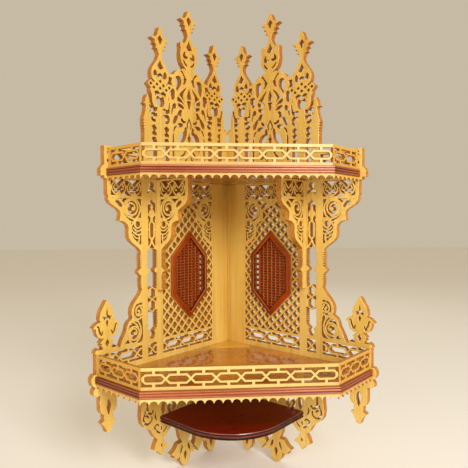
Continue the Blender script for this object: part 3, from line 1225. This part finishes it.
def finishes(colours):
    """All the finishes, made once from the panel's colours."""
    if FINISHES:
        return FINISHES

    def planed(key, *name_and_tones, **settings):
        FINISHES[key] = planed_wood(*name_and_tones, **settings)

    def sawn_edge(key, *name_and_tones, **settings):
        FINISHES[key] = sawn_wood(*name_and_tones, **settings)

    pale, deep = colours.pale_wood, colours.pale_grain
    # varnished lime wood of the frets: honey yellow with soft upright stripes and a low sheen
    planed("face", "varnished_pale_wood", pale, deep, "b07424", ring=8.0, contrast=0.32, age=CREST_AGE)
    # the front rails and scallops, cut from a creamier board
    planed("cream", "varnished_cream_wood", "d9c076", "c9a65a", "bc8840", ring=6.0, contrast=0.25,
           age=CREAM_AGE)
    # the side rails, which took more varnish and turned a deeper gold
    planed("gold", "varnished_golden_wood", "dca640", "c08c2a", "9a5c18", ring=4.0, contrast=0.4)
    # the sawn walls of all these: deeper gold and matt, which draws the fretwork's lines
    sawn_edge("edge", "sawn_pale_wood", colours.sawn_edge, colours.sawn_shadow, age=CREST_AGE)
    # their arrises, where sanding and handling wore the varnish thin: lighter and smoother
    planed("arris", "worn_pale_arris", "eec872", pale, deep, contrast=0.3, roughness=0.36, coat=0.3,
           age=CREST_AGE)
    # red brown stain on the front mouldings, glossy where the reeds catch the light
    planed("moulding", "red_stained_moulding", colours.red_stain, "8a3e16", "4e1606", ring=2.4, contrast=0.9,
           roughness=0.3, coat=0.2, tint=WARM)
    # the same stain, thicker and darker on the side mouldings
    planed("side_moulding", "dark_stained_moulding", "8e401a", "64260e", "421204", ring=2.4, contrast=0.5,
           roughness=0.3, coat=0.1, tint=WARM)
    # the crests of both mouldings' reeds, rosier where the stain wore thin
    planed("moulding_worn", "worn_stained_moulding", "c88460", "a65a38", "6e2a14", ring=2.4, contrast=0.9,
           roughness=0.3, coat=0.1)
    planed("side_moulding_worn", "worn_dark_moulding", "a0502a", "80391a", "5c220c", ring=2.4, contrast=0.5,
           roughness=0.3, coat=0.1)
    # the medallions' band: deep orange red, low sheen
    planed("medallion", "red_stained_medallion", "a4440c", "7e2e06", "561604", ring=3.0, contrast=0.45,
           coat=0.0, shine=0.2, tint=WARM)
    # the net of thin bars in it, darker and dull
    planed("grille", "red_stained_grille", "8c3208", "682204", "461202", ring=2.0, contrast=0.5, coat=0.0,
           shine=0.2, tint=WARM)
    # the arrises of both, where the stain is rubbed through to orange
    planed("grille_worn", "worn_red_arris", "e08a3c", "ba621e", "8a3a10", ring=2.0, contrast=0.4, coat=0.0,
           shine=0.3, tint=WARM)
    # their sawn walls, where the stain soaked in dark
    sawn_edge("medallion_edge", "sawn_red_wood", "641a06", "3e0e04")
    sawn_edge("grille_edge", "sawn_red_grille", "a8380e", "7a2408")
    # orange shelf tops: a glossy coat over long dark grain
    planed("shelf", "orange_glossy_wood", colours.orange_shelf, "8e4a16", "7a3a10", ring=3.2, contrast=0.6,
           roughness=0.28, coat=0.8, bump=0.08, coat_roughness=0.07)
    # the corner piece: clear varnish over plain pale wood
    planed("corner", "pale_corner_wood", "f0be4c", "dca238", "bc7c28", ring=6, contrast=0.35, roughness=0.3,
           coat=0.4)
    # the bottom shelf: thick dark red stain that lets little grain through
    planed("dark", "dark_stained_wood", colours.dark_shelf, "4e0e02", "3c0c02", contrast=0.4, roughness=0.34,
           coat=0.0, bump=0.02, shine=0.3, tint=WARM)
    # its beaded edge, nearly black
    planed("dark_edge", "dark_stained_edge", "3e0e05", "2c0803", "1e0502", contrast=0.3, roughness=0.26,
           coat=0.0, bump=0.02, shine=0.12)
    # the upper arris of that edge, rubbed lighter
    planed("dark_worn", "worn_dark_edge", "8e5a50", "5e2c24", "3c140e", contrast=0.6, roughness=0.24, coat=0.3,
           bump=0.02)
    return FINISHES


# ---------------------------------------------------------------- what a user may change
class IconostasisSizes(bpy.types.PropertyGroup):
    arris: FloatProperty(name="Arris", description="How far the edges of the fretwork are softened",
                         default=0.3 * MM, min=0.1 * MM, max=0.5 * MM, subtype="DISTANCE", unit="LENGTH")
    rail_arris: FloatProperty(name="Rail arris", description="How far the edges of rails are softened",
                              default=0.4 * MM, min=0.1 * MM, max=0.6 * MM, subtype="DISTANCE", unit="LENGTH")
    shelf_arris: FloatProperty(name="Shelf arris", description="How far the edges of shelves are rounded",
                               default=0.5 * MM, min=0.2 * MM, max=1.0 * MM, subtype="DISTANCE", unit="LENGTH")


def colour_choice(name, description, code):
    return FloatVectorProperty(name=name, description=description, default=linear(code), min=0, max=1,
                               subtype="COLOR")


class IconostasisColours(bpy.types.PropertyGroup):
    pale_wood: colour_choice("Pale wood", "Varnished face of the fretted boards and rails", "e8c66a")
    pale_grain: colour_choice("Pale grain", "Deeper tone along the pale wood's grain", "d8ae4a")
    sawn_edge: colour_choice("Sawn edge", "Walls of the saw cuts", "c8892c")
    sawn_shadow: colour_choice("Sawn edge, deep", "Where the saw cuts drank the varnish", "a2651a")
    red_stain: colour_choice("Red stain", "Mouldings round the shelves", "bc6430")
    orange_shelf: colour_choice("Orange shelf", "Glossy tops of the two large shelves", "ce7826")
    dark_shelf: colour_choice("Dark shelf", "The small shelf at the bottom", "7c1a03")


# ---------------------------------------------------------------- making
class WallBoards(bpy.types.Operator):
    """Saw both fretted wall boards, with crest, lattice, brackets, chains and pendants"""
    bl_idname = "iconostasis.wall_boards"
    bl_label = "Wall boards"

    def execute(self, context):
        use = finishes(context.scene.iconostasis_colours)
        arris = context.scene.iconostasis_sizes.arris / MM
        loops = loops_of(wall_pattern())
        for side, word in SIDES:
            piece = fretted(f"fretted_wall_board_{word}", loops, BOARD, arris)
            mitred(piece, (1, 0))
            stood(piece, side * 0.31, (0, CORNER_Y), -side * WALL_TURN, side, f"wall_board_{word}",
                  use["face"], use["edge"], use["arris"])
        return {"FINISHED"}


class Medallions(bpy.types.Operator):
    """Make the hexagonal frames and the barred grilles let in behind them"""
    bl_idname = "iconostasis.medallions"
    bl_label = "Medallions"

    def execute(self, context):
        use = finishes(context.scene.iconostasis_colours)
        grille = loops_of(grille_pattern())
        ring = loops_of(band_pattern())
        for side, word in SIDES:
            piece = fretted(f"mitred_medallion_{word}", ring, MEDALLION_PROUD - GAP, MEDALLION_ARRIS)
            bevelled(piece)
            stood(piece, side * 0.17, wall_point(side, 0, MEDALLION_PROUD), -side * WALL_TURN, side,
                  f"medallion_frame_{word}", use["medallion"], use["medallion_edge"],
                  use["grille_worn"])
            piece = fretted(f"barred_grille_{word}", grille, GRILLE, GRILLE_ARRIS)
            stood(piece, side * 0.23, (0, CORNER_Y), -side * WALL_TURN, side, f"medallion_grille_{word}",
                  use["grille"], use["grille_edge"], use["grille_worn"])
        return {"FINISHED"}


class InnerBrackets(bpy.types.Operator):
    """Saw the two brackets that stand square to the wall boards under the upper shelf"""
    bl_idname = "iconostasis.inner_brackets"
    bl_label = "Inner brackets"

    def execute(self, context):
        use = finishes(context.scene.iconostasis_colours)
        arris = context.scene.iconostasis_sizes.arris / MM
        loops = loops_of(inner_bracket_pattern())
        for side, word in SIDES:
            piece = fretted(f"fretted_bracket_{word}", loops, BOARD, arris)
            stood(piece, side * 0.41, wall_point(side, INNER_END), side * WALL_TURN, -side,
                  f"inner_bracket_{word}", use["face"], use["edge"], use["arris"])
        return {"FINISHED"}


class Shelves(bpy.types.Operator):
    """Make the upper and lower shelf, the pale corner piece and the dark bottom shelf"""
    bl_idname = "iconostasis.shelves"
    bl_label = "Shelves"

    def execute(self, context):
        use = finishes(context.scene.iconostasis_colours)
        arris = context.scene.iconostasis_sizes.shelf_arris / MM
        back = wall_point(1, GAP, GAP)
        plan = [(0, back[1] - GAP / 2)] + self.plan(UPPER_SHELF)
        self.plate("orange_upper_shelf", plan, arris, UPPER_TOP, use["shelf"], 0.2,
                   "upper_shelf", "orange_wood")
        half, reach = CORNER_BLOCK
        edge = half + GAP
        notch = [(-edge, CORNER_Y - edge - GAP * sqrt(2)), (-edge, CORNER_Y - reach - GAP),
                 (edge, CORNER_Y - reach - GAP), (edge, CORNER_Y - edge - GAP * sqrt(2))]
        self.plate("orange_lower_shelf", notch + self.plan(LOWER_SHELF), arris, 0, use["shelf"], 0.6,
                   "lower_shelf", "orange_wood")
        back = CORNER_Y - GAP * sqrt(2)
        block = [(0, back), (half, back - half), (half, CORNER_Y - reach), (-half, CORNER_Y - reach),
                 (-half, back - half)]
        self.plate("pale_corner_piece", block, arris, 0, use["corner"], 0.9,
                   "lower_shelf_corner_piece", "corner_wood")
        self.bottom(use)
        return {"FINISHED"}

    def plan(self, shelf):
        """Wall end and front corner on the right, then on the left."""
        along, off = shelf
        right = [wall_point(1, along, GAP), wall_point(1, along, off)]
        return right + [(-x, y) for x, y in reversed(right)]

    def plate(self, name, plan, arris, top, material, shift, cad, slot):
        piece = sawn(name, [plan], BOARD, arris, 2)
        dressed(piece, material)
        grained(piece, 0, shift)
        placed(piece, 0, 0, top - BOARD / 2)
        finished(piece, cad)

    def bottom(self, use):
        """The dark shelf, its plan repeated down the edge's section."""
        mesh = bpy.data.meshes.new("dark_bottom_shelf")
        rings = [self.rounded_plan(inset) for inset, _ in BOTTOM_EDGE]
        count = len(rings[0])
        verts = [(x * MM, y * MM, z * MM) for ring, (_, z) in zip(rings, BOTTOM_EDGE) for x, y in ring]
        walls = [(row + i, row + (i + 1) % count, row + count + (i + 1) % count, row + count + i)
                 for row in range(0, len(verts) - count, count) for i in range(count)]
        caps = [list(range(count)), list(range(len(verts) - count, len(verts)))]
        mesh.from_pydata(verts, [], walls + caps)
        piece = added("dark_bottom_shelf", mesh)
        dressed(piece, use["dark"], use["dark_edge"], use["dark_worn"], 2)
        grained(piece, 0, 1.3)
        placed(piece, 0, 0, BOTTOM_TOP)
        finished(piece, "bottom_shelf")

    def rounded_plan(self, inset):
        """A square set cornerwise between the walls, its front corner rounded, moved in by inset."""
        reach = BOTTOM_WALL - BOTTOM_ROUND
        radius = BOTTOM_ROUND - inset
        right = wall_point(1, BOTTOM_WALL - inset, GAP)
        turns = [radians(WALL_TURN) * (1 - 2 * i / BOTTOM_STEPS) for i in range(BOTTOM_STEPS + 1)]
        arc = [(radius * sin(turn), CORNER_Y - reach * sqrt(2) - radius * cos(turn)) for turn in turns]
        return [(0, CORNER_Y - GAP * sqrt(2)), right] + arc + [(-right[0], right[1])]


class Rails(bpy.types.Operator):
    """Saw the chained rails that stand on both shelves"""
    bl_idname = "iconostasis.rails"
    bl_label = "Rails"

    def execute(self, context):
        use = finishes(context.scene.iconostasis_colours)
        arris = context.scene.iconostasis_sizes.rail_arris / MM
        for strip in strips(0.0):
            loops = loops_of(rail_pattern(strip.length, strip.is_front))
            piece = sawn(f"chained_{strip.level}_rail_{strip.word}", loops, RAIL, arris)
            upright(piece, RAIL)
            face, worn = ("cream", "arris") if strip.is_front else ("gold", "gold")
            fitted(piece, strip, "rail", strip.top + GAP, use[face], use["edge"], use[worn])
        return {"FINISHED"}


class Mouldings(bpy.types.Operator):
    """Run the red reeded mouldings round both shelves"""
    bl_idname = "iconostasis.mouldings"
    bl_label = "Mouldings"

    def execute(self, context):
        use = finishes(context.scene.iconostasis_colours)
        for strip in strips(MOULD_PROUD):
            piece = self.reeded(strip)
            stain = use["moulding" if strip.is_front else "side_moulding"]
            worn = use["moulding_worn" if strip.is_front else "side_moulding_worn"]
            fitted(piece, strip, "moulding", strip.top, worn, stain, stain)
        return {"FINISHED"}

    def reeded(self, strip):
        """A flat fillet and two round reeds with grooves between, from Z = 0 down."""
        section = [(MOULD_PROUD - GAP, 0.0), (0.6, 0.0), (0.2, -0.5), (0.2, -2.2)]
        turns = [radians(80 - 20 * i) for i in range(9)]
        for middle in REEDS:
            section += [(REED_DEPTH - REED_DEPTH * cos(t), middle + REED_HALF * sin(t)) for t in turns]
        section += [(MOULD_PROUD - GAP, -MOULD_HEIGHT)]
        piece = sawn(f"reeded_{strip.level}_moulding_{strip.word}", [section], strip.length, 0.0)
        shift = 0.0 if strip.is_front else strip.length / 2
        moved(piece, lambda co: np.stack([co[:, 2] + shift, co[:, 0], co[:, 1]], 1))
        return piece


class Valances(bpy.types.Operator):
    """Saw the scalloped strips below the mouldings"""
    bl_idname = "iconostasis.valances"
    bl_label = "Valances"

    def execute(self, context):
        use = finishes(context.scene.iconostasis_colours)
        for strip in strips(VALANCE_PROUD):
            loops = loops_of(valance_pattern(strip.length, strip.is_front))
            piece = sawn(f"scalloped_{strip.level}_valance_{strip.word}", loops, VALANCE, VALANCE_ARRIS)
            upright(piece, VALANCE)
            face = use["cream" if strip.is_front else "gold"]
            fitted(piece, strip, "valance", strip.top - BOARD - GAP, face, use["edge"],
                   use["arris"], 0.05)
        return {"FINISHED"}


class Stage(bpy.types.Operator):
    """Set out the pale floor, the soft lights and the camera"""
    bl_idname = "iconostasis.stage"
    bl_label = "Stage"

    def execute(self, context):
        bpy.ops.object.select_all(action="DESELECT")
        bpy.ops.mesh.primitive_plane_add(size=FLOOR_WIDTH, location=(0, 0, FLOOR - FLOOR_DROP))
        floor = bpy.context.object
        floor.name = "floor"
        # matt distemper: an even pale ground that takes soft shadows
        material, _, shader = blank("matt_pale_floor")
        set_on(shader, Base_Color=(*linear("faf6ee"), 1), Roughness=0.85)
        floor.data.materials.append(material)
        world = bpy.data.worlds.new("soft_studio")
        world.use_nodes = True
        background = world.node_tree.nodes["Background"]
        set_on(background, Color=(*linear("efe0c6"), 1), Strength=SKY)
        context.scene.world = world
        context.scene.view_settings.view_transform = "Standard"
        for name, place, width, power in LIGHTS:
            bpy.ops.object.light_add(type="AREA", location=place)
            lamp = bpy.context.object
            lamp.name = name
            lamp.data.size = width
            lamp.data.energy = power
            lamp.rotation_euler = (AIM - Vector(place)).to_track_quat("-Z", "Y").to_euler()
        bpy.ops.object.camera_add(location=CAMERA_PLACE)
        camera = bpy.context.object
        turn = Matrix.Identity(3)
        for angle, axis in CAMERA_TURNS:
            turn = turn @ Matrix.Rotation(angle, 3, axis)
        right, ahead, up = turn.col
        camera.rotation_euler = Matrix((right, up, -ahead)).transposed().to_euler()
        camera.data.lens = LENS
        camera.data.sensor_width = SENSOR
        context.scene.camera = camera
        return {"FINISHED"}


class IconostasisPanel(bpy.types.Panel):
    """Sizes, colours and steps of the iconostasis"""
    bl_idname = "VIEW3D_PT_iconostasis"
    bl_label = "Home Iconostasis"
    bl_space_type = "VIEW_3D"
    bl_region_type = "UI"
    bl_category = "Iconostasis"

    def draw(self, context):
        column = self.layout.column()
        for group in (context.scene.iconostasis_sizes, context.scene.iconostasis_colours):
            for name in group.__annotations__:
                column.prop(group, name)
        for step in STEPS:
            column.operator(step.bl_idname)


STEPS = (WallBoards, Medallions, InnerBrackets, Shelves, Rails, Mouldings, Valances, Stage)
CLASSES = (IconostasisSizes, IconostasisColours) + STEPS + (IconostasisPanel,)


def register():
    for item in CLASSES:
        bpy.utils.register_class(item)
    bpy.types.Scene.iconostasis_sizes = PointerProperty(type=IconostasisSizes)
    bpy.types.Scene.iconostasis_colours = PointerProperty(type=IconostasisColours)


def unregister():
    del bpy.types.Scene.iconostasis_colours
    del bpy.types.Scene.iconostasis_sizes
    for item in reversed(CLASSES):
        bpy.utils.unregister_class(item)


def main():
    register()
    bpy.ops.iconostasis.wall_boards()
    bpy.ops.iconostasis.medallions()
    bpy.ops.iconostasis.inner_brackets()
    bpy.ops.iconostasis.shelves()
    bpy.ops.iconostasis.rails()
    bpy.ops.iconostasis.mouldings()
    bpy.ops.iconostasis.valances()
    bpy.ops.iconostasis.stage()


if __name__ == "__main__":
    main()
